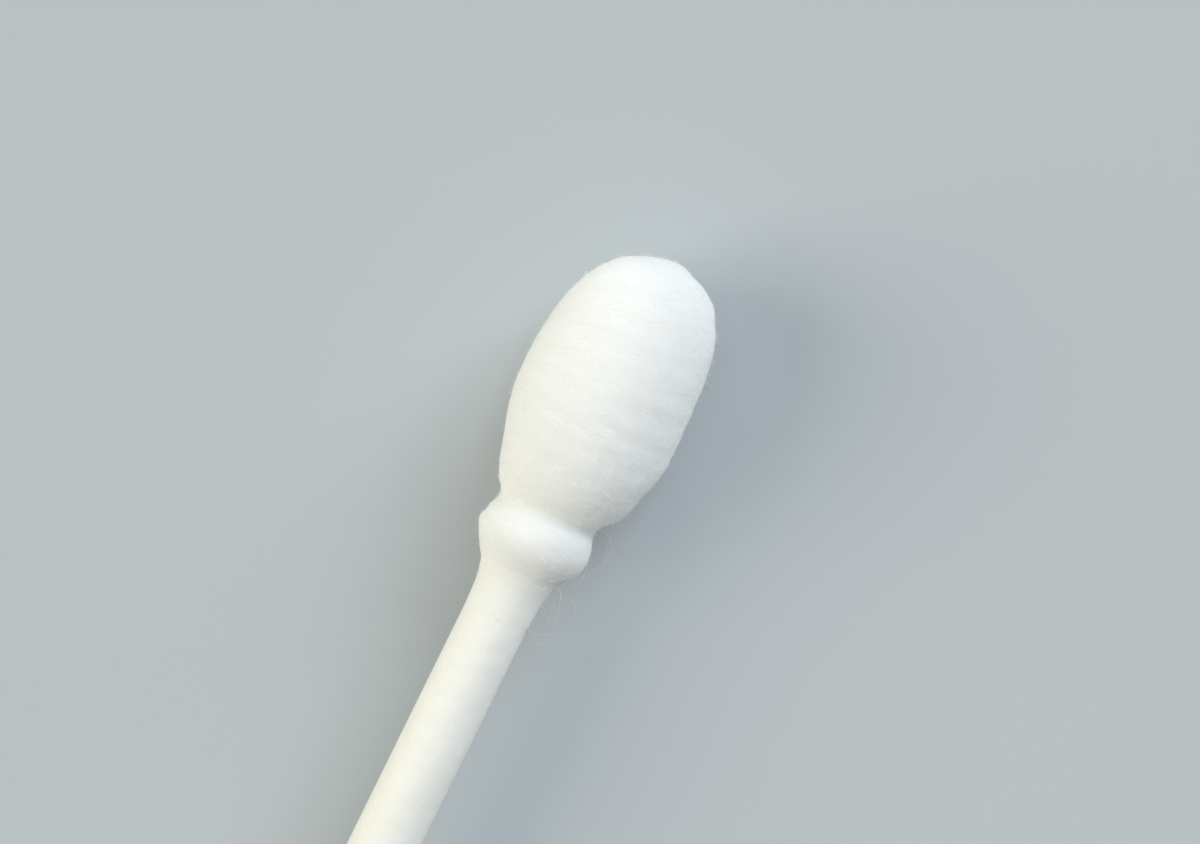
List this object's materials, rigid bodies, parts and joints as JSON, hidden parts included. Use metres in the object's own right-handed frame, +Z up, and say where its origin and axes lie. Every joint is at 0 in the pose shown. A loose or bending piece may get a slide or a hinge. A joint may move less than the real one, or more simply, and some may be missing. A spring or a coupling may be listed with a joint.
{
  "type": "cotton swab",
  "caption": "Double-ended cotton swab lying flat: a thin rolled paper stick with a soft wound cotton bud, waisted above a small collar, on each end.",
  "frame": {"origin": "on the surface that the swab lies on, under the middle of the stick", "axes": "+X along the stick towards the front bud, +Z up from the surface, +Y across the stick"},
  "size_m": [0.076, 0.006, 0.0059],
  "materials": {
    "paper_stick": "matte, tightly rolled paper",
    "cotton": "soft bleached cotton, wound, with fine loose fibres"
  },
  "bodies": {
    "root": {"stick": "paper_stick", "front_bud": "cotton", "back_bud": "cotton"}
  },
  "joints": []
}
